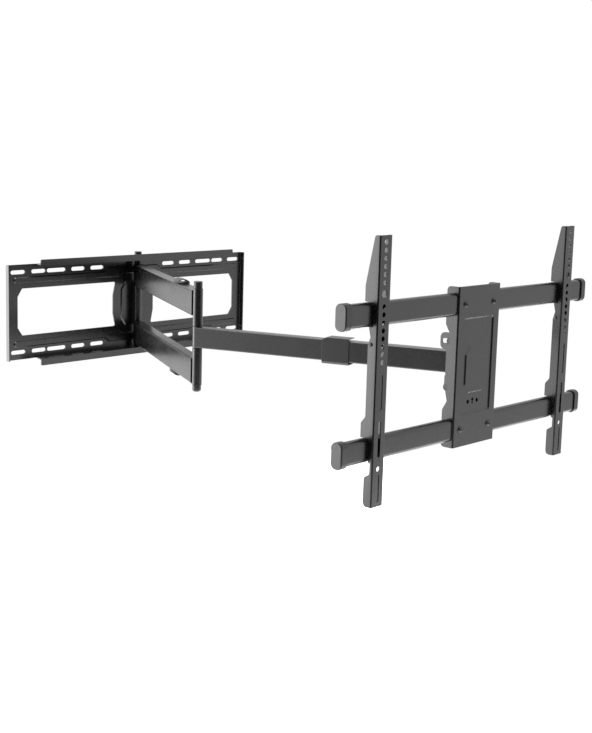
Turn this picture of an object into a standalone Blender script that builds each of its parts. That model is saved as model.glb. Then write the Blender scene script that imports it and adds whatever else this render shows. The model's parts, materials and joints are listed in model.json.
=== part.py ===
"""Full motion TV wall mount: wall plate, two-stage arm, swivel and tilt head, and a TV frame of
two rails and two sliding uprights. Metres, +Z up, the wall is the plane y = 0 and the TV faces -Y.
The origin is the centre of the wall plate's back face."""

import math

import bmesh
import bpy
from mathutils import Matrix, Vector

# Fits and stock
GAP = 0.0003  # between pieces that touch or slide on each other
PIVOT_PLAY = 0.0003  # radial play of a pin in its bore
SHEET = 0.0025  # pressed steel of the wall plate and the centre plate
UPRIGHT_SHEET = 0.002
TUBE_WALL = 0.002
EMBOSS = 0.0028  # height of a pressed rib or panel
DRAFT = 0.0022  # how far its sloping side runs
BARREL_RADIUS = 0.00975
ROUND_STEPS = 24  # sides of a small round piece

# Wall plate
PLATE_HALF_WIDTH = 0.362
PLATE_HALF_HEIGHT = 0.104
END_FLANGE_DEPTH = 0.0130
SHELF_DEPTH = 0.038
SHELF_HALF_WIDTH = 0.295
SHELF_ROOT_HALF_WIDTH = 0.283
LIP_HEIGHT = 0.012
RELIEF_WIDTH = 0.008
RELIEF_HEIGHT = 0.004
RELIEF_DEPTH = 0.0014
WINDOW_HALF_HEIGHT = 0.0515
WINDOW_OUTER = 0.331
WINDOW_OUTER_CHAMFER = (0.012, 0.0175)
WINDOW_INNER_CORNER = 0.055
WINDOW_INNER_MIDDLE = 0.062
WINDOW_INNER_MIDDLE_HALF = 0.021
SLOT_ROW = 0.0876
SLOT_WIDTH = 0.0088
SLOT_PITCH = 0.055
SLOT_LENGTH = 0.0382
LONG_SLOT = (0.2002, 0.2521)
RIB_LOW, RIB_HIGH = 0.063, 0.077
RIB_HALF_LENGTH = 0.342
RIB_DRAFT = 0.0003  # the rib widens a little towards the middle
RIB_HIGH_STEP = (0.089, 0.074, 0.087)  # from, to, and the height it steps up to
RIB_LOW_STEP = (0.041, 0.032, 0.069)
HUB_PANEL = (0.039, 0.052, 0.013, 0.018)  # half width, half height and corner cut

# Arms: lengths between pivots, and their headings at rest
WALL_PIVOT_OUT = 0.0185
WALL_PIN_RADIUS = 0.006
WALL_PIN_HEAD = (0.00845, 0.0167)  # radius and height
ARM1_LENGTH = 0.5611
ARM1_HEADING = math.radians(-119.51)
ARM1_TUBE = (0.025, 0.050)  # thickness and height
ARM1_TUBE_LOW = 0.042  # underside of the upper tube above the middle
ARM2_LENGTH = 0.5216
ARM2_HEADING = math.radians(-72.84)
ARM2_TUBE = (0.025, 0.040)
HUB_HALF_HEIGHT = 0.0210
ELBOW_PIN_RADIUS = 0.006
ELBOW_TOP = 0.095
ELBOW_CAP = (0.0086, 0.014)
WASHER = 0.001
CABLE_LOOP_AT = (0.409, 0.448)
CABLE_CLIP_AT = (0.381, 0.425)
SLEEVE_AT = (0.2710, 0.3255)

# Swivel and tilt head, measured from the head pivot
HEAD_PIN_RADIUS = 0.005
CLEVIS_SHEET = 0.003
CLEVIS_EYE = 0.012
CLEVIS_HALF_WIDTH = 0.014
YOKE_WEB = (0.0297, 0.0327)  # back and front face of the yoke's web, ahead of the pivot
YOKE_SHEET = 0.003
YOKE_WEB_TOP, YOKE_WEB_BOTTOM = 0.038, -0.0275
YOKE_NOSE = 0.0056
TILT_OUT = 0.0312  # tilt pivot and lock bolt ahead of the swivel pivot
TILT_LOW, TILT_HIGH = -0.036, 0.046
TILT_BOLT_RADIUS = 0.004
TILT_FORWARD, TILT_BACK = math.radians(6.5), math.radians(3.5)
EAR_SHEET = 0.0028
BRACKET_TOP, BRACKET_BOTTOM = 0.015, -0.074
LOCK_LUG = (0.0330, 0.0605, -0.0145)  # bottom, top and rear of the slotted lug
PIVOT_LUG = (-0.0280, -0.0160, -0.0264)
PIVOT_LOBE = 0.0070
PLATE_FRONT = 0.0525

# Centre plate and rails
CENTRE_HALF_WIDTH = 0.0635
CENTRE_HALF_HEIGHT = 0.142
CENTRE_DEEP, CENTRE_SHALLOW = 0.026, 0.017
RECESS_HALF = (0.0462, 0.0862)
RECESS_DEPTH = 0.0022
RECESS_SLOPE = 0.0026
OCTAGON_HALF_WIDTH = 0.0355
OCTAGON_TOP, OCTAGON_BOTTOM = 0.036, -0.0485
OCTAGON_CUT = (0.0135, 0.0145)
RAIL_HEIGHT = 0.040
RAIL_DEPTH = 0.018
RAIL_CORNER = 0.0072
RAIL_LEVEL = 0.1108
RAIL_BEHIND_PLATE = 0.0033
RAIL_HALF_LENGTH = 0.367
CAP_LENGTH = 0.0155
CAP_PROUD = 0.0024
CAP_END_WALL = 0.0035
RAIL_BOLT_AT = 0.0433
RAIL_BOLT_RADIUS = 0.003
RAIL_BOLT_HEAD = (0.0061, 0.0030)  # radius and height
RAIL_BOLT_SOCKET = 0.0024

# Uprights
UPRIGHT_AT = {"left": -0.2809, "right": 0.2835}
UPRIGHT_WIDTH = 0.0312
UPRIGHT_TOP, UPRIGHT_BOTTOM = 0.238, -0.205
UPRIGHT_AHEAD_OF_RAIL = 0.0098
HOLE_RADIUS = 0.0043
HOLE_PITCH = 0.01295
HOLE_TOP_ROW, HOLE_TOP_COUNT = 0.2271, 6
HOLE_LOW_ROW, HOLE_LOW_COUNT = 0.1240, 8
GROOVES = ((0.014, -0.045), (-0.150, -0.197))
GROOVE_WIDTH, GROOVE_DEPTH = 0.0075, 0.0009
BIG_HOLE = (0.1443, 0.0065)
LONG_HOLE = (-0.0620, -0.1230, 0.0034)
LAST_HOLE = -0.1418
LATCH_SCREW_DROP = 0.028  # below the underside of the upper rail

STEEL = (0.032, 0.032, 0.034, 1.0)
PLASTIC = (0.018, 0.018, 0.019, 1.0)
FASTENER = (0.045, 0.045, 0.048, 1.0)

FRONT_PLANE = Matrix.Rotation(math.pi / 2, 4, "X")  # outline x, y become X, Z
SIDE_PLANE = Matrix.Rotation(math.pi / 2, 4, "Z") @ FRONT_PLANE  # outline x, y become Y, Z
PLAN = Matrix.Identity(4)


# ---- scene, materials and small helpers ----


def clear_scene():
    for item in list(bpy.data.objects):
        bpy.data.objects.remove(item, do_unlink=True)


def new_collection(name):
    made = bpy.data.collections.new(name)
    bpy.context.scene.collection.children.link(made)
    return made


def new_material(name, colour, roughness, metallic):
    made = bpy.data.materials.new(name)
    made.use_nodes = True
    shader = made.node_tree.nodes["Principled BSDF"]
    shader.inputs["Base Color"].default_value = colour
    shader.inputs["Roughness"].default_value = roughness
    shader.inputs["Metallic"].default_value = metallic
    return made


def arc(centre, radius, start, end, steps):
    """Points along an arc, from one angle to another, in degrees."""
    return [
        (
            centre[0] + radius * math.cos(math.radians(start + (end - start) * i / steps)),
            centre[1] + radius * math.sin(math.radians(start + (end - start) * i / steps)),
        )
        for i in range(steps + 1)
    ]


def circle(centre, radius, steps=ROUND_STEPS):
    return arc(centre, radius, 0, 360, steps)[:-1]


def rounded(points, radii, steps=3):
    """The outline with each corner rounded by a fillet, one radius for all or one for each."""
    if not isinstance(radii, (list, tuple)):
        radii = [radii] * len(points)
    path = []
    for i, corner in enumerate(points):
        before, after = points[i - 1], points[(i + 1) % len(points)]
        a = (before[0] - corner[0], before[1] - corner[1])
        b = (after[0] - corner[0], after[1] - corner[1])
        la, lb = math.hypot(*a), math.hypot(*b)
        a, b = (a[0] / la, a[1] / la), (b[0] / lb, b[1] / lb)
        half = math.acos(max(-1, min(1, a[0] * b[0] + a[1] * b[1]))) / 2
        if radii[i] <= 0 or half > math.radians(89.5):
            path.append(corner)
            continue
        reach = min(radii[i] / math.tan(half), 0.49 * la, 0.49 * lb)
        radius = reach * math.tan(half)
        middle = (a[0] + b[0], a[1] + b[1])
        scale = radius / math.sin(half) / math.hypot(*middle)
        centre = (corner[0] + middle[0] * scale, corner[1] + middle[1] * scale)
        start = math.atan2(corner[1] + a[1] * reach - centre[1], corner[0] + a[0] * reach - centre[0])
        end = math.atan2(corner[1] + b[1] * reach - centre[1], corner[0] + b[0] * reach - centre[0])
        turn = (end - start + math.pi) % (2 * math.pi) - math.pi
        path += arc(centre, radius, math.degrees(start), math.degrees(start + turn), steps)
    return path


def rectangle(low, high):
    return [(low[0], low[1]), (high[0], low[1]), (high[0], high[1]), (low[0], high[1])]


def slot(low, high, level, width, steps=4):
    """A slot along the outline's first axis, with round ends."""
    r = width / 2
    return arc((high - r, level), r, -90, 90, steps) + arc((low + r, level), r, 90, 270, steps)


def mirrored(points):
    return [(-x, y) for x, y in reversed(points)]


def flipped(points):
    return [(x, -y) for x, y in reversed(points)]


def place(made, where, material, parent, cutter=False):
    made.location = where
    made.parent = parent
    if material:
        made.data.materials.append(material)
    (CUTTERS if cutter else PARTS).objects.link(made)
    if cutter:
        made.hide_render = True
        made.display_type = "WIRE"
    return made


def holds(loop, point):
    """Whether a closed outline goes round a point."""
    x, y = point
    inside = False
    for (ax, ay), (bx, by) in zip(loop, loop[1:] + loop[:1]):
        if (ay > y) != (by > y) and x < ax + (y - ay) * (bx - ax) / (by - ay):
            inside = not inside
    return inside


def prisms(shape, loops, low, high):
    """Adds each outline to the mesh as a solid of its own."""
    for loop in loops:
        area = sum(ax * by - bx * ay for (ax, ay), (bx, by) in zip(loop, loop[1:] + loop[:1]))
        path = loop if area > 0 else loop[::-1]
        floor = [shape.verts.new((x, y, low)) for x, y in path]
        roof = [shape.verts.new((x, y, high)) for x, y in path]
        shape.faces.new(floor[::-1])
        shape.faces.new(roof)
        for i in range(len(path)):
            shape.faces.new((floor[i - 1], floor[i], roof[i], roof[i - 1]))


def pierced(name, loops, low, high):
    """A mesh of one outline with the others as holes in it, or as islands in a hole."""
    curve = bpy.data.curves.new(name, "CURVE")
    curve.dimensions = "2D"
    curve.fill_mode = "BOTH"
    curve.extrude = (high - low) / 2
    for loop in loops:
        spline = curve.splines.new("POLY")
        spline.points.add(len(loop) - 1)
        for point, (x, y) in zip(spline.points, loop):
            point.co = (x, y, 0, 1)
        spline.use_cyclic_u = True
    guide = bpy.data.objects.new(name + "_outline", curve)
    CUTTERS.objects.link(guide)
    bpy.context.view_layer.update()
    graph = bpy.context.evaluated_depsgraph_get()
    mesh = bpy.data.meshes.new_from_object(guide.evaluated_get(graph))
    mesh.materials.clear()
    mesh.transform(Matrix.Translation((0, 0, (high + low) / 2)))
    bpy.data.objects.remove(guide, do_unlink=True)
    return mesh


def plate(name, loops, low, high, plane, material=None, parent=None, where=(0, 0, 0), cutter=False):
    """A flat outline with its holes, made solid between two levels along the plane's normal.

    The normal is -Y for FRONT_PLANE, +X for SIDE_PLANE and +Z for PLAN."""
    shape = bmesh.new()
    if any(holds(loops[0], loop[0]) for loop in loops[1:]):
        mesh = pierced(name, loops, low, high)
        shape.from_mesh(mesh)
        bmesh.ops.remove_doubles(shape, verts=shape.verts, dist=1e-6)
    else:
        mesh = bpy.data.meshes.new(name)
        prisms(shape, loops, low, high)
    shape.to_mesh(mesh)
    shape.free()
    mesh.transform(plane)
    return place(bpy.data.objects.new(name, mesh), where, material, parent, cutter)


def cylinder(name, radius, low, high, material=None, parent=None, where=(0, 0, 0), cutter=False,
             axis="Z", steps=ROUND_STEPS):
    mesh = bpy.data.meshes.new(name)
    shape = bmesh.new()
    bmesh.ops.create_cone(
        shape, cap_ends=True, segments=steps, radius1=radius, radius2=radius, depth=high - low
    )
    bmesh.ops.translate(shape, verts=shape.verts, vec=(0, 0, (high + low) / 2))
    shape.to_mesh(mesh)
    shape.free()
    mesh.transform(turned_to(axis))
    mesh.shade_smooth()
    mesh.set_sharp_from_angle(angle=math.radians(40))
    return place(bpy.data.objects.new(name, mesh), where, material, parent, cutter)


def turned_to(axis):
    if axis == "X":
        return Matrix.Rotation(math.pi / 2, 4, "Y")
    if axis == "-X":
        return Matrix.Rotation(-math.pi / 2, 4, "Y")
    if axis == "-Y":
        return Matrix.Rotation(math.pi / 2, 4, "X")
    return Matrix.Identity(4)


def turned(name, profile, material, parent, where=(0, 0, 0), axis="Z", steps=ROUND_STEPS):
    """A solid of revolution about its own axis from (radius, height) points, top to bottom."""
    mesh = bpy.data.meshes.new(name)
    points = [(radius, 0, height) for radius, height in profile]
    mesh.from_pydata(points, [(i, i + 1) for i in range(len(points) - 1)], [])
    made = place(bpy.data.objects.new(name, mesh), where, material, parent)
    made.rotation_euler = turned_to(axis).to_euler()
    screw = made.modifiers.new("turn", "SCREW")
    screw.axis = "Z"
    screw.angle = 2 * math.pi
    screw.steps = steps
    screw.render_steps = steps
    screw.use_merge_vertices = True
    screw.merge_threshold = 1e-5
    screw.use_smooth_shade = False
    return made


def ring(name, outer, inner, low, high, material, parent, where=(0, 0, 0)):
    loops = [circle((0, 0), outer), circle((0, 0), inner)]
    return plate(name, loops, low, high, PLAN, material, parent, where)


def combine(target, other, operation):
    """Joins or cuts with a helper, which stays in the cutters' collection."""
    step = target.modifiers.new(other.name, "BOOLEAN")
    step.operation = operation
    step.solver = "EXACT"
    step.object = other


def helper(target, operation, name, loops, low, high, plane):
    """A flat helper in the target's own frame, joined to it or cut from it."""
    made = plate(f"{target.name}_{name}", loops, low, high, plane, parent=target.parent,
                 where=target.location, cutter=True)
    combine(target, made, operation)


def sloped(target, operation, name, first, second, low, high):
    """Joins or cuts a raised or sunk field whose outline changes from one level to the other."""
    shape = bmesh.new()
    floor = [shape.verts.new((x, z, low)) for x, z in first]
    roof = [shape.verts.new((x, z, high)) for x, z in second]
    shape.faces.new(floor)
    shape.faces.new(roof)
    for i in range(len(first)):
        shape.faces.new((floor[i - 1], floor[i], roof[i], roof[i - 1]))
    bmesh.ops.recalc_face_normals(shape, faces=shape.faces)
    shape.transform(FRONT_PLANE)
    mesh = bpy.data.meshes.new(f"{target.name}_{name}")
    shape.to_mesh(mesh)
    shape.free()
    field = bpy.data.objects.new(mesh.name, mesh)
    place(field, (0, 0, 0), None, target.parent, cutter=True)
    combine(target, field, operation)


def drill(target, name, radius, low, high, centre, axis="Z", steps=ROUND_STEPS):
    made = cylinder(f"{target.name}_{name}", radius, low, high, parent=target.parent,
                    where=target.location + Vector(centre), cutter=True,
                    axis=axis, steps=steps)
    combine(target, made, "DIFFERENCE")


def pivot(name, where, heading=0.0):
    made = bpy.data.objects.new(name, None)
    made.empty_display_size = 0.03
    made.location = where
    made.rotation_euler = (0, 0, heading)
    PARTS.objects.link(made)
    return made


# ---- wall plate and its pivot ----


def window_outline():
    cut_x, cut_z = WINDOW_OUTER_CHAMFER
    top, middle = WINDOW_HALF_HEIGHT, WINDOW_INNER_MIDDLE_HALF
    corners = [
        (WINDOW_INNER_CORNER, -top),
        (WINDOW_OUTER - cut_x, -top),
        (WINDOW_OUTER, cut_z - top),
        (WINDOW_OUTER, top - cut_z),
        (WINDOW_OUTER - cut_x, top),
        (WINDOW_INNER_CORNER, top),
        (WINDOW_INNER_MIDDLE, middle),
        (WINDOW_INNER_MIDDLE, -middle),
    ]
    return rounded(corners, 0.003, 2)


def rib_outline(inset=0.0):
    """The full-width rib above the windows, drawn smaller by inset."""
    high_from, high_to, high_level = RIB_HIGH_STEP
    low_from, low_to, low_level = RIB_LOW_STEP
    end, low, high = RIB_HALF_LENGTH - inset, RIB_LOW + inset, RIB_HIGH - inset
    half = [
        (low_to + inset, low_level + inset),
        (low_from + inset, low),
        (end, low),
        (end, high),
        (high_from - inset, high + RIB_DRAFT),
        (high_to - inset, high_level - inset),
    ]
    round_end = (high - low) * 0.45
    radii = [0.002, 0.002, round_end, round_end, 0.002, 0.002]
    return rounded(half + mirrored(half), radii + radii[::-1], 4)


def panel_outline(half_width, half_height, cut_x, cut_z, inset=0.0):
    w, h = half_width - inset, half_height - inset
    half = [(w - cut_x, -h), (w, cut_z - h), (w, h - cut_z), (w - cut_x, h)]
    return half + [(-x, z) for x, z in reversed(half)]


def slot_spans():
    """The slots on one side, as spans from the middle outwards."""
    spans = [LONG_SLOT]
    for place_no in (2, 3, 5, 6):
        middle = place_no * SLOT_PITCH
        spans.append((middle - SLOT_LENGTH / 2, middle + SLOT_LENGTH / 2))
    return spans


def wall_plate():
    w, t, d = PLATE_HALF_WIDTH, SHEET, END_FLANGE_DEPTH
    section = [(-w, -d), (-w, 0), (w, 0), (w, -d), (w - t, -d), (w - t, -t), (t - w, -t), (t - w, -d)]
    outer_bend = 2 * t
    loop = rounded(section, [0, outer_bend, outer_bend, 0, 0, t, t, 0], 4)
    made = plate("wall_plate", [loop], -PLATE_HALF_HEIGHT, PLATE_HALF_HEIGHT, PLAN, STEEL_COAT)

    holes = [window_outline(), mirrored(window_outline())]
    reliefs = []
    relief_low = SHELF_ROOT_HALF_WIDTH + GAP
    for level in (1, -1):
        for low, high in slot_spans():
            shape = slot(low, high, level * SLOT_ROW, SLOT_WIDTH)
            holes += [shape, mirrored(shape)]
        edge = level * PLATE_HALF_HEIGHT
        relief_high = relief_low + RELIEF_WIDTH
        corner = rectangle((relief_low, edge - RELIEF_HEIGHT), (relief_high, edge + RELIEF_HEIGHT))
        reliefs += [corner, mirrored(corner)]
    helper(made, "DIFFERENCE", "windows", holes, -t, 2 * t, FRONT_PLANE)
    helper(made, "DIFFERENCE", "reliefs", reliefs, t - RELIEF_DEPTH, 2 * t, FRONT_PLANE)

    # Pressed ribs with the matching hollow behind, and a solid hub panel
    spread = -DRAFT * t / 2 / EMBOSS
    wide, narrow = (panel_outline(*HUB_PANEL, inset) for inset in (spread, DRAFT))
    sloped(made, "UNION", "hub_panel", wide, narrow, t / 2, t + EMBOSS)
    for side, turn in (("top", 1), ("bottom", -1)):
        wide, narrow = (
            [(turn * x, turn * z) for x, z in rib_outline(inset)] for inset in (spread, DRAFT)
        )
        sloped(made, "UNION", f"{side}_rib", wide, narrow, t / 2, t + EMBOSS)
        hollow = [(turn * x, turn * z) for x, z in rib_outline(0.002)]
        helper(made, "DIFFERENCE", f"{side}_rib_back", [hollow], -t, EMBOSS, FRONT_PLANE)

    # Shelves with their lips, above and below
    root, edge = SHELF_ROOT_HALF_WIDTH, SHELF_HALF_WIDTH
    depth, top = SHELF_DEPTH, PLATE_HALF_HEIGHT
    web_end = edge - GAP
    half = [(root, -t / 2), (root, -2 * t), (web_end, -depth + t), (web_end, -depth + t / 2)]
    web = half + [(-x, y) for x, y in reversed(half)]
    lip_low = top - t + GAP
    lip = rounded(rectangle((-edge, lip_low), (edge, top + LIP_HEIGHT)), [0, 0, 0.003, 0.003])
    for side, turn in (("top", 1), ("bottom", -1)):
        low, high = sorted((turn * (top - t), turn * (top - GAP / 2)))
        helper(made, "UNION", side + "_shelf", [web], low, high, PLAN)
        outline = lip if turn > 0 else flipped(lip)
        helper(made, "UNION", side + "_lip", [outline], depth - t, depth, FRONT_PLANE)
    drill(made, "pin_hole", WALL_PIN_RADIUS + PIVOT_PLAY, -2 * top, 2 * top, (0, -WALL_PIVOT_OUT, 0))
    return made


def wall_pivot():
    where = (0, -WALL_PIVOT_OUT, 0)
    head_radius, head_height = WALL_PIN_HEAD
    shelf_top = PLATE_HALF_HEIGHT + GAP
    tip = -shelf_top - 0.013
    turned(
        "wall_pivot_bolt",
        [
            (0, shelf_top + head_height),
            (head_radius - 0.001, shelf_top + head_height),
            (head_radius, shelf_top + head_height - 0.001),
            (head_radius, shelf_top),
            (WALL_PIN_RADIUS, shelf_top),
            (WALL_PIN_RADIUS, tip + 0.001),
            (WALL_PIN_RADIUS - 0.001, tip),
            (0, tip),
        ],
        FASTENER_COAT, None, where,
    )
    nut = [circle((0, 0), 0.0098, 6), circle((0, 0), WALL_PIN_RADIUS + GAP)]
    plate("wall_pivot_nut", nut, -shelf_top - 0.0105, -shelf_top, PLAN, FASTENER_COAT, None, where)
    low, high = ARM1_TUBE_LOW + ARM1_TUBE[1] + GAP, PLATE_HALF_HEIGHT - SHEET - GAP
    bore = WALL_PIN_RADIUS + PIVOT_PLAY
    ring("wall_bush_top", 0.0085, bore, low, high, PLASTIC_COAT, None, where)
    ring("wall_bush_bottom", 0.0085, bore, -high, -low, PLASTIC_COAT, None, where)


# ---- arms ----


def box_tube(name, size, level, low, high, corner, parent, wall=TUBE_WALL):
    """A rectangular tube along the arm."""
    thickness, height = size
    half_t, half_h = thickness / 2, height / 2
    outer = rounded(rectangle((-half_t, level - half_h), (half_t, level + half_h)), corner)
    inner_low = (wall - half_t, level - half_h + wall)
    inner_high = (half_t - wall, level + half_h - wall)
    inner = rounded(rectangle(inner_low, inner_high), 0.0008, 2)
    return plate(name, [outer, inner], low, high, SIDE_PLANE, STEEL_COAT, parent)


def first_arm(arm):
    bore = WALL_PIN_RADIUS + PIVOT_PLAY
    top = ARM1_TUBE_LOW + ARM1_TUBE[1]
    level = ARM1_TUBE_LOW + ARM1_TUBE[1] / 2
    ring("wall_barrel", BARREL_RADIUS, bore, -top, top, STEEL_COAT, arm)
    low, high = BARREL_RADIUS + GAP, ARM1_LENGTH - 0.001
    for name, sign in (("upper", 1), ("lower", -1)):
        tube = box_tube(f"{name}_arm_tube", ARM1_TUBE, sign * level, low, high, 0.0028, arm)
        drill(tube, "cope", BARREL_RADIUS + GAP, -2 * top, 2 * top, (ARM1_LENGTH, 0, 0), steps=40)
        clear = ARM1_LENGTH - BARREL_RADIUS - GAP
        far_end = rectangle((clear, 0.001), (ARM1_LENGTH + 0.01, ARM1_TUBE[0]))
        helper(tube, "DIFFERENCE", "far_end", [far_end], -2 * top, 2 * top, PLAN)
    cable_guide("cable_loop", arm, top, CABLE_LOOP_AT, 0.0095, 1)
    cable_guide("cable_clip", arm, top, CABLE_CLIP_AT, 0.0078, -1)


def cable_guide(name, arm, face, span, height, turn):
    """A plastic arch on a tube's face, open at both ends, with a slot along its near side."""
    half, thick, slit = ARM1_TUBE[0] / 2 - 0.0003, 0.0016, 0.0018
    foot = thick + slit
    near, far = -half, half
    shoulder, eaves = height * 0.8, height * 0.42
    section = [
        (near, 0), (far, 0), (far, eaves), (0.006, height * 0.88), (-0.004, height),
        (-0.009, shoulder), (near, foot + 0.0012), (near, foot), (near + thick, foot),
        (near + thick, foot + 0.0008), (-0.0085, shoulder - thick), (-0.004, height - thick),
        (0.0055, height * 0.88 - thick),
        (far - thick, eaves - thick / 2), (far - thick, thick), (near, thick),
    ]
    radii = [0, 0, 0.004, 0.008, 0.006, 0.004, 0, 0, 0, 0, 0.003, 0.005, 0.007, 0.002, 0.0006, 0]
    loop = [(y, turn * (face + GAP + z)) for y, z in rounded(section, radii, 3)]
    plate(name, [loop], *span, SIDE_PLANE, PLASTIC_COAT, arm)


def elbow(arm):
    """Barrels at the end of the first arm, and the pin and caps they hold."""
    where = (ARM1_LENGTH, 0, 0)
    bore = ELBOW_PIN_RADIUS + PIVOT_PLAY
    washer_low = HUB_HALF_HEIGHT + GAP
    barrel_low = washer_low + WASHER + GAP
    for name, sign in (("upper", 1), ("lower", -1)):
        span = sorted((sign * barrel_low, sign * ELBOW_TOP))
        ring(f"{name}_elbow_barrel", BARREL_RADIUS, bore, *span, STEEL_COAT, arm, where)
        span = sorted((sign * washer_low, sign * (washer_low + WASHER)))
        ring(f"{name}_elbow_washer", BARREL_RADIUS - 0.0008, bore, *span, PLASTIC_COAT, arm, where)
    pin_end = ELBOW_TOP + 0.004
    cylinder("elbow_pin", ELBOW_PIN_RADIUS, -pin_end, pin_end, FASTENER_COAT, arm, where)
    radius, height = ELBOW_CAP
    seat, pocket = ELBOW_TOP + GAP, pin_end + GAP
    end, edge, dome = seat + height, 0.0012, 0.0050
    inside = [(radius, seat), (bore, seat), (bore, pocket), (0, pocket)]
    profile = [(0, end), (radius - edge, end), (radius, end - edge)] + inside
    turned("elbow_cap_top", profile, PLASTIC_COAT, arm, where)
    curve = [(x, -z) for x, z in arc((0, end - dome), 1, 0, 90, 5)]
    curve = [(radius * x, -end + dome + (z + end - dome) * dome) for x, z in curve]
    profile = [(x, -z) for x, z in inside[::-1]] + curve[:-1] + [(0, -end)]
    turned("elbow_cap_bottom", profile, PLASTIC_COAT, arm, where)


def second_arm(arm):
    hub = HUB_HALF_HEIGHT
    ring("elbow_hub", BARREL_RADIUS, ELBOW_PIN_RADIUS + PIVOT_PLAY, -hub, hub, STEEL_COAT, arm)
    head = (ARM2_LENGTH, 0, 0)
    ring("head_barrel", BARREL_RADIUS, HEAD_PIN_RADIUS + PIVOT_PLAY, -hub, hub, STEEL_COAT, arm, head)
    end = 0.001
    tube = box_tube("second_arm_tube", ARM2_TUBE, 0, end, ARM2_LENGTH - end, 0.0028, arm)
    for i, at in enumerate((0, ARM2_LENGTH)):
        drill(tube, f"cope_{i}", BARREL_RADIUS + GAP, -2 * hub, 2 * hub, (at, 0, 0), steps=40)
    cable_sleeve(arm)


def cable_sleeve(arm):
    """A snap-on plastic sleeve round the second arm, open along the far side of its crown."""
    clear, top = ARM2_TUBE[0] / 2 + GAP, ARM2_TUBE[1] / 2
    wall, side_wall = 0.0016, 0.0011
    side = clear + side_wall
    crown, keel, slope = 0.0048, 0.0052, 0.0030

    def section(half, crown, keel):
        upper = [(half, top + crown)]
        lower = [(half - slope, -top - keel), (half, -top - 0.0010)]
        right = lower + upper
        return rounded(right + [(-y, z) for y, z in reversed(right)], 0.0014, 2)

    loops = [section(side, crown, keel), section(clear, crown - wall, keel - wall)]
    made = plate("cable_sleeve", loops, *SLEEVE_AT, SIDE_PLANE, PLASTIC_COAT, arm)
    start, end = SLEEVE_AT
    rake, tall = 0.009, 0.05
    front = [(start - rake, -tall), (start - rake, tall), (start + rake, tall), (start + rake, top + crown)]
    front += [(start, top), (start, -tall)]
    rear = [(end - rake / 2, -tall), (end + rake, -tall), (end + rake, -top), (end, -top)]
    helper(made, "DIFFERENCE", "rakes", [front, rear], -2 * side, 2 * side, FRONT_PLANE)
    slit = rectangle((clear - side_wall, top - side_wall), (side + wall, top + crown - wall - GAP))
    helper(made, "DIFFERENCE", "slit", [slit], start - rake, end + rake, SIDE_PLANE)


# ---- swivel and tilt head, in the head pivot's frame ----


def ear_half_width():
    """Outer face of the tilt bracket's ears, which line the centre plate's flanges."""
    return CENTRE_HALF_WIDTH - SHEET - GAP


def cheek_half_width():
    """Outer face of the yoke's cheeks, inside the ears."""
    return ear_half_width() - EAR_SHEET - GAP


def swivel_yoke(head):
    back, front = YOKE_WEB
    outer = cheek_half_width()
    inset = 0.0004
    web = rectangle((inset - outer, YOKE_WEB_BOTTOM), (outer - inset, YOKE_WEB_TOP))
    made = plate("swivel_yoke", [web], back + inset, front, FRONT_PLANE, STEEL_COAT, head)
    nose, axis_y = YOKE_NOSE, -TILT_OUT
    cheek = arc((axis_y, TILT_HIGH), nose, 0, 180, 12) + arc((axis_y, TILT_LOW), nose, 180, 360, 12)
    hole = TILT_BOLT_RADIUS + GAP
    loops = [cheek, circle((axis_y, TILT_LOW), hole, 20), circle((axis_y, TILT_HIGH), hole, 20)]
    for name, span in (("left", (-outer, YOKE_SHEET - outer)), ("right", (outer - YOKE_SHEET, outer))):
        helper(made, "UNION", f"{name}_cheek", loops, *span, SIDE_PLANE)
    # Clevis plates above and below the head barrel
    step = HUB_HALF_HEIGHT + GAP + WASHER + GAP
    reach, half = (back + front) / 2, CLEVIS_HALF_WIDTH
    outline = [(-half - reach / 2, -reach), (half + reach / 2, -reach)]
    outline += [(half, -reach / 3)] + arc((0, 0), CLEVIS_EYE, 0, 180, 14) + [(-half, -reach / 3)]
    bore = circle((0, 0), HEAD_PIN_RADIUS + PIVOT_PLAY)
    for name, sign in (("upper", 1), ("lower", -1)):
        span = sorted((sign * step, sign * (step + CLEVIS_SHEET)))
        helper(made, "UNION", f"{name}_clevis", [outline, bore], *span, PLAN)


def head_pivot(head):
    step = HUB_HALF_HEIGHT + GAP
    top = step + WASHER + GAP + CLEVIS_SHEET + GAP
    bore, r = HEAD_PIN_RADIUS + PIVOT_PLAY, HEAD_PIN_RADIUS
    ring("head_washer_top", 0.0090, bore, step, step + WASHER, PLASTIC_COAT, head)
    ring("head_washer_bottom", 0.0090, bore, -step - WASHER, -step, PLASTIC_COAT, head)
    tip = -top - 0.0095
    crown = [(0, top + 0.0065), (0.0060, top + 0.0065), (0.0085, top + 0.0035), (0.0085, top)]
    turned("head_pivot_bolt", crown + [(r, top), (r, tip), (0, tip)], FASTENER_COAT, head)
    nut = [circle((0, 0), 0.0092, 6), circle((0, 0), r + GAP)]
    plate("head_pivot_nut", nut, -top - 0.0075, -top, PLAN, FASTENER_COAT, head)


def tilt_bolts(head):
    """Bolts from inside the yoke, flush with the outside of the bracket's ears."""
    tip = ear_half_width()
    seat = cheek_half_width() - YOKE_SHEET - GAP
    r, head_r, head_h = TILT_BOLT_RADIUS, 0.0056, 0.0040
    for use, level in (("pivot", TILT_LOW), ("lock", TILT_HIGH)):
        for side, axis in (("left", "-X"), ("right", "X")):
            crown = [(head_r, seat), (head_r, seat - head_h), (0, seat - head_h)]
            turned(f"{side}_tilt_{use}_bolt", [(0, tip), (r, tip), (r, seat)] + crown,
                   FASTENER_COAT, head, (0, -TILT_OUT, level), axis, 16)


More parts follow.
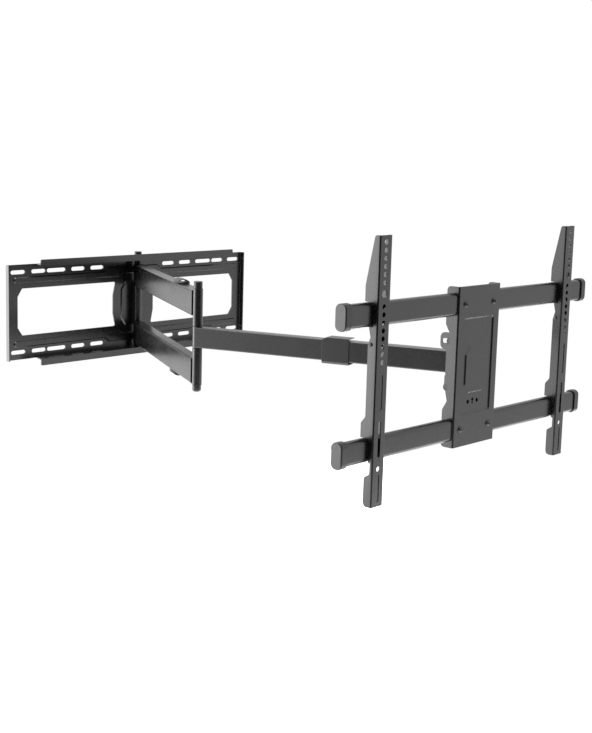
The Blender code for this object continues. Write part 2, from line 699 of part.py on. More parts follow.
def lock_slot():
    """The arc slot that the lock bolt rides in, about the tilt pivot, in (y, z)."""
    centre, radius = (-TILT_OUT, TILT_LOW), TILT_HIGH - TILT_LOW
    half = TILT_BOLT_RADIUS + GAP
    rear, ahead = 90 - math.degrees(TILT_FORWARD), 90 + math.degrees(TILT_BACK)
    rear_end, ahead_end = (arc(centre, radius, angle, angle, 1)[0] for angle in (rear, ahead))
    loop = arc(centre, radius + half, rear, ahead, 6)
    loop += arc(ahead_end, half, ahead, ahead + 180, 6)[1:-1]
    loop += arc(centre, radius - half, ahead, rear, 6)
    return loop + arc(rear_end, half, rear - 180, rear, 6)[1:-1]


def tilt_bracket(head):
    """Inner bracket fixed in the centre plate, with the slotted lug above and the pivot lug below."""
    outer = ear_half_width()
    inset = 0.0004
    front = PLATE_FRONT - SHEET - RECESS_DEPTH - GAP
    web = rectangle((inset - outer, BRACKET_BOTTOM + inset), (outer - inset, BRACKET_TOP))
    made = plate("tilt_bracket", [web], front - EAR_SHEET, front - inset, FRONT_PLANE, STEEL_COAT, head)
    ear_rear = -PLATE_FRONT + CENTRE_SHALLOW - 0.001
    lug_low, lug_high, lug_rear = LOCK_LUG
    step_low, step_high, step_rear = PIVOT_LUG
    lobe = arc((-TILT_OUT, TILT_LOW), PIVOT_LOBE, -75, 40, 7)
    lower = [(-front, BRACKET_BOTTOM), (ear_rear, BRACKET_BOTTOM)] + lobe
    step = [(step_rear, step_low), (step_rear, step_high), (ear_rear, step_high + 0.008)]
    corners = [(ear_rear, lug_low - 0.006), (lug_rear, lug_low), (lug_rear, lug_high), (ear_rear, lug_high)]
    lug = rounded(corners, [0.004, 0.009, 0.009, 0], 5)
    outline = lower + step + lug + [(-front, lug_high)]
    loops = [outline, circle((-TILT_OUT, TILT_LOW), TILT_BOLT_RADIUS + GAP, 16), lock_slot()]
    for name, span in (("left", (-outer, EAR_SHEET - outer)), ("right", (outer - EAR_SHEET, outer))):
        helper(made, "UNION", f"{name}_ear", loops, *span, SIDE_PLANE)


# ---- TV frame ----


def channel(name, half_width, front, depth, sheet, bend, low, high, frame):
    """A pressed U-channel standing upright, its flat face in front and open behind."""
    w, back = half_width, depth - front
    section = [
        (-w, back), (-w, -front), (w, -front), (w, back),
        (w - sheet, back), (w - sheet, sheet - front), (sheet - w, sheet - front), (sheet - w, back),
    ]
    inner = max(bend - sheet, 0.0005)
    loop = rounded(section, [0, bend, bend, 0, 0, inner, inner, 0], 3)
    return plate(name, [loop], low, high, PLAN, STEEL_COAT, frame)


def trim_flanges(target, half_width, front, outline, openings):
    """Cuts a channel to its side view: what lies outside the outline goes, and the openings."""
    far = rectangle((-front - 0.02, outline[0][1] - 0.05), (0.05, max(z for _, z in outline) + 0.05))
    helper(target, "DIFFERENCE", "side_view", [far, outline] + openings, -2 * half_width,
           2 * half_width, SIDE_PLANE)


def rail_front():
    return PLATE_FRONT - RAIL_BEHIND_PLATE


def rail_section(grow=0.0, level=RAIL_LEVEL):
    low = (-rail_front() - grow, level - RAIL_HEIGHT / 2 - grow)
    high = (-rail_front() + RAIL_DEPTH + grow, level + RAIL_HEIGHT / 2 + grow)
    return rounded(rectangle(low, high), RAIL_CORNER + grow, 4)


def centre_plate(head):
    half_w, half_h, front = CENTRE_HALF_WIDTH, CENTRE_HALF_HEIGHT, PLATE_FRONT
    back = front - SHEET
    made = channel("centre_plate", half_w, front, CENTRE_DEEP + 0.002, SHEET, 0.003,
                   -half_h - 0.001, half_h + 0.001, head)
    windows = [rail_section(GAP, level) for level in (-RAIL_LEVEL, RAIL_LEVEL)]
    trim_flanges(made, half_w, front, centre_side_view(), windows)
    w, h = RECESS_HALF
    wall = 0.002
    pad = rounded(rectangle((-w - wall, -h - wall), (w + wall, h + wall)), 0.006)
    helper(made, "UNION", "recess_back", [pad], back - RECESS_DEPTH, back + SHEET / 2, FRONT_PLANE)
    spread = RECESS_SLOPE * (1 + SHEET / RECESS_DEPTH)
    floor, mouth = (
        rounded(rectangle((-w - grow, -h - grow), (w + grow, h + grow)), 0.005)
        for grow in (-RECESS_SLOPE, spread - RECESS_SLOPE)
    )
    sloped(made, "DIFFERENCE", "recess", floor, mouth, front - RECESS_DEPTH, front + SHEET)
    middle = (OCTAGON_TOP + OCTAGON_BOTTOM) / 2
    rise = (OCTAGON_TOP - OCTAGON_BOTTOM) / 2
    foot = back - RECESS_DEPTH / 2
    flare = RECESS_SLOPE * (front - foot) / RECESS_DEPTH
    size = (OCTAGON_HALF_WIDTH, rise, *OCTAGON_CUT)
    wide, narrow = (
        rounded([(x, z + middle) for x, z in panel_outline(*size, inset)], 0.002, 2)
        for inset in (RECESS_SLOPE - flare, RECESS_SLOPE)
    )
    sloped(made, "UNION", "octagon", wide, narrow, foot, front - GAP / 2)
    marks = [circle((-0.0200, -0.064), 0.0037, 16), circle((0.0080, -0.064), 0.0037, 16)]
    marks.append([(-0.0076, -0.0695), (-0.0044, -0.0695), (-0.0044, -0.0625), (-0.0015, -0.0625),
                  (-0.0060, -0.0565), (-0.0105, -0.0625), (-0.0076, -0.0625)])
    marks += [circle((x, z), RAIL_BOLT_RADIUS + GAP, 16)
              for x in (-RAIL_BOLT_AT, RAIL_BOLT_AT) for z in (-RAIL_LEVEL, RAIL_LEVEL)]
    helper(made, "DIFFERENCE", "marks", marks, back - 2 * RECESS_DEPTH, front + SHEET, FRONT_PLANE)


def centre_side_view():
    """The flange's outline in (y, z), deep at the rails and shallow between them."""
    ahead = -PLATE_FRONT - 0.01
    deep, shallow = -PLATE_FRONT + CENTRE_DEEP, -PLATE_FRONT + CENTRE_SHALLOW
    top = CENTRE_HALF_HEIGHT
    wide_from, narrow_to = 0.0755, 0.0600
    half = [(shallow, narrow_to), (deep, wide_from), (deep, top), (ahead, top)]
    rounding = [0.008, 0.008, 0.007, 0]
    lower = [(y, -z) for y, z in reversed(half)]
    return rounded(lower + half, rounding[::-1] + rounding, 4)


def rails(head):
    wall = 0.0018
    for name, level in (("upper", RAIL_LEVEL), ("lower", -RAIL_LEVEL)):
        end = RAIL_HALF_LENGTH - CAP_END_WALL - GAP
        loops = [rail_section(0, level), rail_section(-wall, level)]
        made = plate(f"{name}_rail", loops, -end, end, SIDE_PLANE, STEEL_COAT, head)
        for side, x in (("left", -RAIL_BOLT_AT), ("right", RAIL_BOLT_AT)):
            drill(made, f"{side}_bolt_hole", RAIL_BOLT_RADIUS + GAP, rail_front() - 2 * wall,
                  rail_front() + wall, (x, 0, level), "-Y", 16)
            rail_bolt(head, f"{name}_{side}", x, level, wall)
        for side, sign in (("left", -1), ("right", 1)):
            rail_cap(head, f"{name}_{side}_end_cap", level, sign)


def rail_bolt(head, name, x, level, wall):
    """A dome-head bolt through the centre plate, into a rivet nut behind the rail's front wall."""
    radius, height = RAIL_BOLT_HEAD
    r, seat = RAIL_BOLT_RADIUS, PLATE_FRONT + GAP
    tip = rail_front() - wall - 0.0095
    crown = [(0, seat + height), (radius * 0.5, seat + height * 0.86), (radius * 0.85, seat + height * 0.5)]
    shank = [(radius, seat), (r, seat), (r, tip), (0, tip)]
    bolt = turned(f"{name}_rail_bolt", crown + shank, FASTENER_COAT, head, (x, 0, level), "-Y", 16)
    socket = circle((0, 0), RAIL_BOLT_SOCKET, 6)
    helper(bolt, "DIFFERENCE", "socket", [socket], seat + height / 2, seat + 2 * height, FRONT_PLANE)
    nut = [circle((x, level), 0.0046, 16), circle((x, level), r + GAP, 16)]
    high = rail_front() - wall - GAP
    plate(f"{name}_rivet_nut", nut, high - 0.008, high, FRONT_PLANE, FASTENER_COAT, head)


def rail_cap(head, name, level, sign):
    edge = 0.0022
    low, high = sorted((sign * (RAIL_HALF_LENGTH - CAP_LENGTH), sign * (RAIL_HALF_LENGTH - edge)))
    made = plate(name, [rail_section(CAP_PROUD, level)], low, high, SIDE_PLANE, PLASTIC_COAT, head)
    low, high = sorted((sign * (RAIL_HALF_LENGTH - 2 * edge), sign * RAIL_HALF_LENGTH))
    helper(made, "UNION", "end", [rail_section(CAP_PROUD - edge / 2, level)], low, high, SIDE_PLANE)
    pocket_end = RAIL_HALF_LENGTH - CAP_END_WALL
    low, high = sorted((sign * (RAIL_HALF_LENGTH - 2 * CAP_LENGTH), sign * pocket_end))
    helper(made, "DIFFERENCE", "pocket", [rail_section(GAP, level)], low, high, SIDE_PLANE)


# ---- uprights ----


def upright_front():
    return rail_front() + UPRIGHT_AHEAD_OF_RAIL


def upright_side_view():
    """An upright's flange in (y, z), open behind each rail."""
    front = -upright_front()
    ahead, top, bottom = front - 0.01, UPRIGHT_TOP, UPRIGHT_BOTTOM
    rear = front + 0.027
    waist, foot = front + 0.0182, front + 0.0175
    neck, low_neck = front + 0.009, front + 0.0062
    seat = -rail_front() - GAP
    reach = RAIL_HEIGHT / 2 + GAP
    up_top, up_low = RAIL_LEVEL + reach, RAIL_LEVEL - reach
    down_top, down_low = -up_low, -up_top
    corners = [
        (ahead, bottom, 0), (foot, bottom, 0.007), (foot, down_low - 0.025, 0.005),
        (low_neck, down_low - 0.018, 0.003), (low_neck, down_low, 0), (seat, down_low, 0),
        (seat, down_top, 0.002), (rear, down_top, 0.001), (rear, -0.066, 0.005),
        (waist, -0.056, 0.006), (waist, 0.060, 0.005), (waist - 0.004, 0.0735, 0.004),
        (neck, 0.0755, 0.002), (neck, up_low, 0), (seat, up_low, 0),
        (seat, up_top, 0.003), (rear, up_top, 0.0015), (rear, 0.158, 0.006),
        (front + 0.0107, top, 0.004), (ahead, top, 0),
    ]
    return rounded([(y, z) for y, z, _ in corners], [r for _, _, r in corners], 2)


def upright_holes():
    levels = [HOLE_TOP_ROW - i * HOLE_PITCH for i in range(HOLE_TOP_COUNT)]
    levels += [HOLE_LOW_ROW - i * HOLE_PITCH for i in range(HOLE_LOW_COUNT)] + [LAST_HOLE]
    holes = [circle((0, z), HOLE_RADIUS, 12) for z in levels]
    holes.append(circle((0, BIG_HOLE[0]), BIG_HOLE[1], 16))
    top, low, r = LONG_HOLE
    return holes + [upright_slot(top, low, 2 * r)]


def upright_slot(top, low, width):
    r = width / 2
    return arc((0, top - r), r, 0, 180, 5) + arc((0, low + r), r, 180, 360, 5)


def upright(name, frame):
    """A U-channel with its row of TV holes; the frame's origin is its middle."""
    half, front, sheet = UPRIGHT_WIDTH / 2, upright_front(), UPRIGHT_SHEET
    made = channel(f"{name}_upright", half, front, 0.029, sheet, 0.0026,
                   UPRIGHT_BOTTOM - 0.001, UPRIGHT_TOP + 0.001, frame)
    screw_hole = circle((screw_y(), screw_level()), 0.0021 + GAP, 14)
    trim_flanges(made, half, front, upright_side_view(), [screw_hole])
    helper(made, "DIFFERENCE", "holes", upright_holes(), front - 2 * sheet, front + sheet, FRONT_PLANE)
    grooves = [upright_slot(top, low, GROOVE_WIDTH) for top, low in GROOVES]
    helper(made, "DIFFERENCE", "grooves", grooves, front - GROOVE_DEPTH, front + sheet, FRONT_PLANE)
    latch(name, frame)


def screw_y():
    return -upright_front() + 0.0125


def screw_level():
    return RAIL_LEVEL - RAIL_HEIGHT / 2 - LATCH_SCREW_DROP


def latch(name, frame):
    """A block in the channel under the upper rail, on a screw across both flanges."""
    inner = UPRIGHT_WIDTH / 2 - UPRIGHT_SHEET - GAP
    underside = RAIL_LEVEL - RAIL_HEIGHT / 2 - GAP
    y, z = screw_y(), screw_level()
    front = -upright_front() + UPRIGHT_SHEET + 0.004
    outline = [(front, z - 0.005), (y + 0.0035, z - 0.005), (y + 0.0025, z + 0.010),
               (front + 0.0128, underside - 0.002), (front + 0.0128, underside), (front, underside)]
    loops = [rounded(outline, [0.001, 0.003, 0.003, 0, 0, 0]), circle((y, z), 0.0021 + GAP, 14)]
    plate(f"{name}_rail_latch", loops, -inner, inner, SIDE_PLANE, PLASTIC_COAT, frame)
    seat = UPRIGHT_WIDTH / 2 + GAP
    crown = [(0, seat + 0.0020), (0.0020, seat + 0.0020), (0.0036, seat + 0.0010), (0.0036, seat)]
    turned(f"{name}_latch_screw", crown + [(0.0021, seat), (0.0021, -seat), (0, -seat)],
           FASTENER_COAT, frame, (0, y, z), "-X", 16)


# ---- the assembly ----

clear_scene()
PARTS = new_collection("tv_wall_mount")
CUTTERS = new_collection("cutters")
STEEL_COAT = new_material("black_powder_coat", STEEL, 0.42, 0.0)
PLASTIC_COAT = new_material("black_plastic", PLASTIC, 0.38, 0.0)
FASTENER_COAT = new_material("black_fastener", FASTENER, 0.35, 0.6)

wall_plate()
wall_pivot()

first = pivot("first_arm_pivot", (0, -WALL_PIVOT_OUT, 0), ARM1_HEADING)
first_arm(first)
elbow(first)

elbow_x = ARM1_LENGTH * math.cos(ARM1_HEADING)
elbow_y = ARM1_LENGTH * math.sin(ARM1_HEADING) - WALL_PIVOT_OUT
second = pivot("second_arm_pivot", (elbow_x, elbow_y, 0), ARM2_HEADING)
second_arm(second)

head_x = elbow_x + ARM2_LENGTH * math.cos(ARM2_HEADING)
head_y = elbow_y + ARM2_LENGTH * math.sin(ARM2_HEADING)
head_frame = pivot("head_swivel_pivot", (head_x, head_y, 0))
swivel_yoke(head_frame)
head_pivot(head_frame)
tilt_bolts(head_frame)

tv_frame = pivot("tv_frame_pivot", (head_x, head_y, 0))
tilt_bracket(tv_frame)
centre_plate(tv_frame)
rails(tv_frame)

for side_name, offset in UPRIGHT_AT.items():
    upright(side_name, pivot(f"{side_name}_upright_slide", (head_x + offset, head_y, 0)))
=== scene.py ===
import json
import math

import bmesh
import bpy
from mathutils import Matrix, Vector


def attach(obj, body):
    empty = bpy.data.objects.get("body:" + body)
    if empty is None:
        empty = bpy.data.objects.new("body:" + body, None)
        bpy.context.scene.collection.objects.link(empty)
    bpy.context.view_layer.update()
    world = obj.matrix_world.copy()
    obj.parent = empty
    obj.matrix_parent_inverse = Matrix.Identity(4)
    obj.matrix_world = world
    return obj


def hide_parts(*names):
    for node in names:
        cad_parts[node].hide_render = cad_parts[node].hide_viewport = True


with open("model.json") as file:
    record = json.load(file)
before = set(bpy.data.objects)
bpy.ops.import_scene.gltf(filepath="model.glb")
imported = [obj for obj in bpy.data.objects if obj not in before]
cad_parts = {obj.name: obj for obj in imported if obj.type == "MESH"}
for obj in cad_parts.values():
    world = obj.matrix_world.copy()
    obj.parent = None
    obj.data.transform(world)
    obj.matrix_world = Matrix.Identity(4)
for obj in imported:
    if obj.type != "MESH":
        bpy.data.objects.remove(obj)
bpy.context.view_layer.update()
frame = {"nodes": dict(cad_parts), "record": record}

# A full motion TV wall mount: a pressed wall plate, two folding arms, a head that swivels and tilts, and a
# frame of two rails and two uprights. Every piece is black: powder coat on the sheets and tubes, moulded
# plastic in the caps, bushes, washers, latches and cable guides, and black zinc on the bolts, nuts, screws
# and pin. Lengths are in metres unless a comment says otherwise.

NODE_BODY = {n: b for b, ns in frame["record"]["behaviour"]["bodies"].items() for n in ns}
NODE_SLOT = {s["node"]: s["material_slot"] for s in frame["record"]["subparts"]}


# ---- materials ----

# The textures of a coat. The grain and its flecks have the coat's own scale, and FLECK_SCALE is a share of it
GRAIN = {"detail": 3.0, "roughness": 0.6}
FLECKS = {"detail": 2.0, "roughness": 0.5}
FLECK_SCALE = 0.45
CLOUD = {"scale": 9.0, "detail": 5.0, "roughness": 0.6}
HIGHLIGHT_NOISE = {"scale": 60.0, "detail": 4.0, "roughness": 0.65}

# How far the cloud darkens and lightens the colour, and how much the flecks take of the lighter colour that
# also paints the edge highlight
DARKER, LIGHTER = 0.80, 1.22
CLOUD_RANGE = (0.3, 0.7)
FLECK_RANGE, FLECK_STRENGTH = (0.62, 0.74), 0.35

# Painted highlight on the edges, a lighter colour along them for the light their rounding catches: its width,
# the cosines at which it starts and is full, and its patches
HIGHLIGHT_WIDTH = 0.0009
HIGHLIGHT_SAMPLES = 4
HIGHLIGHT_FROM, HIGHLIGHT_FULL = 0.97, 0.78
HIGHLIGHT_RANGE, HIGHLIGHT_LEAST = (0.35, 0.7), 0.15

# What the cloud, the grain and the highlighted edges add to or take from the roughness
GLOSS_RANGE, GLOSSIER, DULLER = (0.25, 0.75), 0.04, 0.05
GRAIN_RANGE, GRAIN_GLOSS = (0.3, 0.7), 0.03
HIGHLIGHT_GLOSS = 0.08

# The relief: its strength, and how much of the flecks it takes with the grain
RELIEF = 0.35
FLECK_RELIEF = 0.6


def node(tree, kind, **inputs):
    """Adds a node, with its inputs set by name, an underscore standing for a space."""
    made = tree.nodes.new(kind)
    for name, value in inputs.items():
        made.inputs[name.replace("_", " ")].default_value = value
    return made


def math_node(tree, operation, a, b):
    """Works out one value from two, each a number or an output."""
    made = tree.nodes.new("ShaderNodeMath")
    made.operation = operation
    for socket, value in zip(made.inputs, (a, b)):
        if isinstance(value, (int, float)):
            socket.default_value = value
        else:
            tree.links.new(value, socket)
    return made.outputs[0]


def ramp(tree, source, low, high, out_low, out_high):
    """Maps a value from one range to another, clamped."""
    made = tree.nodes.new("ShaderNodeMapRange")
    tree.links.new(source, made.inputs["Value"])
    made.inputs["From Min"].default_value = low
    made.inputs["From Max"].default_value = high
    made.inputs["To Min"].default_value = out_low
    made.inputs["To Max"].default_value = out_high
    return made.outputs["Result"]


def mix_colour(tree, factor, a, b):
    """Mixes two colours, each four numbers or an output, by an output that goes from 0 to 1."""
    made = tree.nodes.new("ShaderNodeMix")
    made.data_type = "RGBA"
    tree.links.new(factor, made.inputs["Factor"])
    for name, value in (("A", a), ("B", b)):
        socket = [s for s in made.inputs if s.name == name and s.type == "RGBA"][0]
        if isinstance(value, tuple):
            socket.default_value = value
        else:
            tree.links.new(value, socket)
    return [s for s in made.outputs if s.type == "RGBA"][0]


def noise(tree, coordinates, scale, detail, roughness):
    """A cloudy value. A larger scale makes smaller clouds."""
    made = node(tree, "ShaderNodeTexNoise", Scale=scale, Detail=detail, Roughness=roughness)
    tree.links.new(coordinates, made.inputs["Vector"])
    return made.outputs["Fac"]


def edge_mask(tree, radius):
    """Near 1 along a piece's sharp edges and 0 on its flats."""
    bevel = node(tree, "ShaderNodeBevel", Radius=radius)
    bevel.samples = HIGHLIGHT_SAMPLES
    geometry = tree.nodes.new("ShaderNodeNewGeometry")
    dot = tree.nodes.new("ShaderNodeVectorMath")
    dot.operation = "DOT_PRODUCT"
    tree.links.new(bevel.outputs["Normal"], dot.inputs[0])
    tree.links.new(geometry.outputs["Normal"], dot.inputs[1])
    return ramp(tree, dot.outputs["Value"], HIGHLIGHT_FROM, HIGHLIGHT_FULL, 0.0, 1.0)


def shade(colour, share):
    """A colour of three numbers made darker or lighter, with an alpha of 1."""
    return tuple(c * share for c in colour) + (1.0,)


# The lighter colour serves the flecks and the painted highlight on the edges; the last argument sets how
# strong that highlight is at most.
def coat(name, colour, fleck_and_highlight, roughness, grain_scale, grain_height, specular, metallic=0.0, edge_highlight=0.6):
    """A painted or moulded skin: fine grain, cloudy gloss, faint flecks and a painted highlight that lightens
    the edges in patches.
    """
    made = bpy.data.materials.new(name)
    made.use_nodes = True
    tree = made.node_tree
    shader = tree.nodes["Principled BSDF"]
    where = tree.nodes.new("ShaderNodeTexCoord").outputs["Object"]
    grain = noise(tree, where, grain_scale, **GRAIN)
    flecks = noise(tree, where, grain_scale * FLECK_SCALE, **FLECKS)
    cloud = noise(tree, where, **CLOUD)
    highlight_noise = noise(tree, where, **HIGHLIGHT_NOISE)

    clouded = ramp(tree, cloud, *CLOUD_RANGE, 0.0, 1.0)
    body = mix_colour(tree, clouded, shade(colour, DARKER), shade(colour, LIGHTER))
    body = mix_colour(tree, ramp(tree, flecks, *FLECK_RANGE, 0.0, FLECK_STRENGTH), body, fleck_and_highlight)
    # Painted highlight: the sharp edges take the lighter colour, in patches, for the light caught on their
    # rounding
    patches = ramp(tree, highlight_noise, *HIGHLIGHT_RANGE, HIGHLIGHT_LEAST, edge_highlight)
    edges = math_node(tree, "MULTIPLY", edge_mask(tree, HIGHLIGHT_WIDTH), patches)
    tree.links.new(mix_colour(tree, edges, body, fleck_and_highlight), shader.inputs["Base Color"])

    cloudy_gloss = ramp(tree, cloud, *GLOSS_RANGE, roughness - GLOSSIER, roughness + DULLER)
    fine_gloss = ramp(tree, grain, *GRAIN_RANGE, -GRAIN_GLOSS, GRAIN_GLOSS)
    gloss = math_node(tree, "ADD", cloudy_gloss, fine_gloss)
    gloss = math_node(tree, "SUBTRACT", gloss, math_node(tree, "MULTIPLY", edges, HIGHLIGHT_GLOSS))
    tree.links.new(gloss, shader.inputs["Roughness"])
    shader.inputs["Metallic"].default_value = metallic
    shader.inputs["Specular IOR Level"].default_value = specular

    relief = math_node(tree, "ADD", grain, math_node(tree, "MULTIPLY", flecks, FLECK_RELIEF))
    bump = node(tree, "ShaderNodeBump", Strength=RELIEF, Distance=grain_height)
    tree.links.new(relief, bump.inputs["Height"])
    tree.links.new(bump.outputs["Normal"], shader.inputs["Normal"])
    return made


# Each look's second colour is the lighter one of its flecks and of its painted edge highlight
LOOKS = {
    "black_powder_coat": coat(
        "powder_coat", colour=(0.0028, 0.0028, 0.003), fleck_and_highlight=(0.03, 0.03, 0.031, 1.0),
        roughness=0.26, grain_scale=900.0, grain_height=0.00008, specular=0.66,
    ),
    "black_plastic": coat(
        "moulded_plastic", colour=(0.003, 0.003, 0.0033), fleck_and_highlight=(0.060, 0.060, 0.062, 1.0),
        roughness=0.33, grain_scale=1500.0, grain_height=0.00005, specular=0.60, edge_highlight=0.35,
    ),
    "black_fastener": coat(
        "black_zinc", colour=(0.030, 0.030, 0.033), fleck_and_highlight=(0.22, 0.22, 0.23, 1.0),
        roughness=0.30, grain_scale=1200.0, grain_height=0.00004, specular=0.6, metallic=0.55, edge_highlight=0.8,
    ),
}


# ---- pieces made from the frame's own nodes, with their edges broken ----

# Points this close are one point, and faces within this angle of each other, in degrees, are one face
SAME_POINT = 2e-6
SAME_FACE = 0.6

# Every edge sharper than SHARP_EDGE, in degrees, is rounded over EDGE_WIDTH in EDGE_STEPS
SHARP_EDGE = 34.0
EDGE_STEPS = 2
EDGE_WIDTH = 0.0004
WIDER_EDGES = {
    "centre_plate": 0.0005, "left_upright": 0.0005, "right_upright": 0.0005,
    "cable_loop": 0.0005, "cable_clip": 0.0005, "cable_sleeve": 0.0006,
    "left_rail_latch": 0.0006, "right_rail_latch": 0.0006,
    "wall_pivot_nut": 0.0006, "head_pivot_nut": 0.0006,
}

# How strongly a large face draws the shading of its edges level, from 1 to 100
FLAT_WEIGHT = 100


def dress(name, mesh, cad_node):
    """Puts a new mesh in the scene in place of a CAD node."""
    made = bpy.data.objects.new(name, mesh)
    bpy.context.scene.collection.objects.link(made)
    mesh.materials.clear()
    mesh.materials.append(LOOKS[NODE_SLOT[cad_node]])
    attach(made, NODE_BODY[cad_node])
    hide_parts(cad_node)
    return made


def broken_edges(cad_node, width):
    """A copy of a node with flat faces merged and every sharp edge rounded a little."""
    mesh = frame["nodes"][cad_node].data.copy()
    shape = bmesh.new()
    shape.from_mesh(mesh)
    bmesh.ops.remove_doubles(shape, verts=shape.verts, dist=SAME_POINT)
    bmesh.ops.dissolve_limit(shape, angle_limit=math.radians(SAME_FACE), verts=shape.verts, edges=shape.edges)
    shape.to_mesh(mesh)
    shape.free()
    mesh.shade_smooth()
    made = dress("skin_" + cad_node, mesh, cad_node)

    bevel = made.modifiers.new("edges", "BEVEL")
    bevel.width = width
    bevel.segments = EDGE_STEPS
    bevel.limit_method = "ANGLE"
    bevel.angle_limit = math.radians(SHARP_EDGE)
    bevel.harden_normals = False
    bevel.use_clamp_overlap = True
    flats = made.modifiers.new("flats", "WEIGHTED_NORMAL")
    flats.mode = "FACE_AREA"
    flats.weight = FLAT_WEIGHT
    flats.keep_sharp = False

    graph = bpy.context.evaluated_depsgraph_get()
    final = bpy.data.meshes.new_from_object(made.evaluated_get(graph))
    made.modifiers.clear()
    made.data = final


for cad_node in frame["nodes"]:
    broken_edges(cad_node, WIDER_EDGES.get(cad_node, EDGE_WIDTH))


# ---- floor, light and camera ----

# Brightness of the room at each heading, in degrees from +X: a panel beyond the left end of the
# wall plate, softer walls behind and to the right, and a dark band where the camera stands
WALLS = (
    (-180, 0.10), (-172, 0.03), (-82, 0.03), (-68, 0.9), (-55, 1.65), (-30, 1.3),
    (0, 1.0), (55, 1.1), (75, 1.45), (100, 2.4), (116, 9.0), (134, 9.0),
    (146, 3.0), (163, 2.4), (172, 1.7), (177, 0.12), (180, 0.08),
)

# Brightness overhead and underfoot, and the steepness, as a share of straight up, at which it begins and
# is whole
CEILING, CEILING_FROM = 1.7, (0.45, 0.75)

# A pale disc, well below the mount, that glows a little
FLOOR_CENTRE = (-0.15, -0.55, -0.62)
FLOOR_RADIUS = 1.7
FLOOR_SIDES = 96
FLOOR_COLOUR, FLOOR_ROUGHNESS, FLOOR_GLOW = (0.9, 0.9, 0.9, 1.0), 0.9, 1.15

WHITE = (1.0, 1.0, 1.0, 1.0)

# A wide soft light over the mount: place, what it points at, its sides and its power in watts
TOP_LIGHT = {"where": (-0.3, -0.6, 2.2), "target": (-0.15, -0.6, 0), "size": (2.4, 2.4), "power": 60.0}

# The camera stands to the left of the mount, out past the TV frame, and looks down a little towards the wall
# plate: place, heading from +X, look down and roll in degrees, and lens in millimetres
CAMERA = {"where": (-2.0706, -2.3608, 0.3718), "yaw": 41.62, "pitch": 9.38, "roll": 1.58, "lens": 80.865}
SENSOR_WIDTH = 36.0
SEES_TO = 60.0


def studio():
    """A room bright all round but for a dark band behind the camera, and plain white to look at."""
    world = bpy.data.worlds.new("studio")
    bpy.context.scene.world = world
    world.use_nodes = True
    tree = world.node_tree
    tree.nodes.clear()
    toward = tree.nodes.new("ShaderNodeTexCoord").outputs["Generated"]
    parts = tree.nodes.new("ShaderNodeSeparateXYZ")
    tree.links.new(toward, parts.inputs[0])
    heading = math_node(tree, "ARCTAN2", parts.outputs["Y"], parts.outputs["X"])
    turn = ramp(tree, heading, -math.pi, math.pi, 0.0, 1.0)
    walls = tree.nodes.new("ShaderNodeValToRGB")
    tree.links.new(turn, walls.inputs["Fac"])
    stops = walls.color_ramp.elements
    while len(stops) < len(WALLS):
        stops.new(0.5)
    brightest = max(level for _, level in WALLS)
    for stop, (degrees, level) in zip(stops, WALLS):
        stop.position = (degrees + 180) / 360
        stop.color = (level / brightest,) * 3 + (1.0,)
    level = math_node(tree, "MULTIPLY", walls.outputs["Color"], brightest)

    steep = ramp(tree, math_node(tree, "ABSOLUTE", parts.outputs["Z"], 0.0), *CEILING_FROM, 0.0, 1.0)
    rest = math_node(tree, "MULTIPLY", level, math_node(tree, "SUBTRACT", 1.0, steep))
    level = math_node(tree, "ADD", rest, math_node(tree, "MULTIPLY", steep, CEILING))

    lit = tree.nodes.new("ShaderNodeBackground")
    tree.links.new(level, lit.inputs["Strength"])
    seen = node(tree, "ShaderNodeBackground", Color=WHITE, Strength=1.0)
    path = tree.nodes.new("ShaderNodeLightPath")
    mixed = tree.nodes.new("ShaderNodeMixShader")
    tree.links.new(path.outputs["Is Camera Ray"], mixed.inputs[0])
    tree.links.new(lit.outputs[0], mixed.inputs[1])
    tree.links.new(seen.outputs[0], mixed.inputs[2])
    out = tree.nodes.new("ShaderNodeOutputWorld")
    tree.links.new(mixed.outputs[0], out.inputs["Surface"])


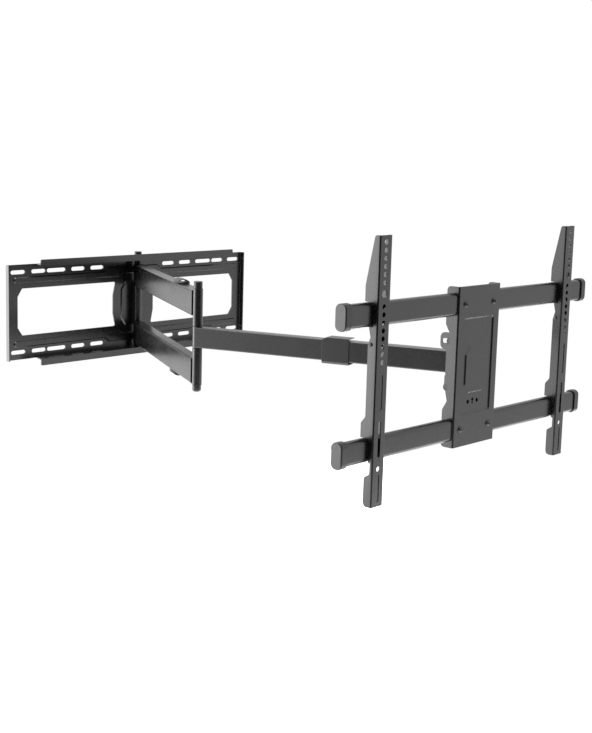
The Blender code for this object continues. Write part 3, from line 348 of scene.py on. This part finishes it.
def softbox(name, where, target, size, power):
    """A rectangular light that points at a place."""
    light = bpy.data.lights.new(name, "AREA")
    light.shape = "RECTANGLE"
    light.size, light.size_y = size
    light.energy = power
    made = bpy.data.objects.new(name, light)
    bpy.context.scene.collection.objects.link(made)
    made.location = where
    made.rotation_euler = (Vector(target) - Vector(where)).to_track_quat("-Z", "Y").to_euler()


def floor():
    """The pale disc under the mount."""
    mesh = bpy.data.meshes.new("floor")
    shape = bmesh.new()
    bmesh.ops.create_circle(shape, cap_ends=True, segments=FLOOR_SIDES, radius=FLOOR_RADIUS)
    shape.to_mesh(mesh)
    shape.free()
    made = bpy.data.objects.new("floor", mesh)
    made.location = FLOOR_CENTRE
    bpy.context.scene.collection.objects.link(made)
    paint = bpy.data.materials.new("floor_white")
    paint.use_nodes = True
    shader = paint.node_tree.nodes["Principled BSDF"]
    shader.inputs["Base Color"].default_value = FLOOR_COLOUR
    shader.inputs["Roughness"].default_value = FLOOR_ROUGHNESS
    shader.inputs["Emission Color"].default_value = WHITE
    shader.inputs["Emission Strength"].default_value = FLOOR_GLOW
    mesh.materials.append(paint)


def camera(where, yaw, pitch, roll, lens):
    """A camera that looks along yaw from +X and down by pitch, rolled to the left."""
    yaw, pitch, roll = (math.radians(a) for a in (yaw, pitch, roll))
    ahead = Vector((math.cos(yaw) * math.cos(pitch), math.sin(yaw) * math.cos(pitch), -math.sin(pitch)))
    level = ahead.cross(Vector((0, 0, 1))).normalized()
    upright = level.cross(ahead)
    right = math.cos(roll) * level + math.sin(roll) * upright
    up = math.cos(roll) * upright - math.sin(roll) * level
    data = bpy.data.cameras.new("camera")
    data.lens = lens
    data.sensor_width = SENSOR_WIDTH
    data.sensor_fit = "HORIZONTAL"
    data.clip_end = SEES_TO
    made = bpy.data.objects.new("camera", data)
    bpy.context.scene.collection.objects.link(made)
    turn = Matrix((right, up, -ahead)).transposed().to_4x4()
    made.matrix_world = Matrix.Translation(where) @ turn
    bpy.context.scene.camera = made


bpy.context.scene.view_settings.view_transform = "Standard"
studio()
floor()
softbox("top_light", **TOP_LIGHT)
camera(**CAMERA)
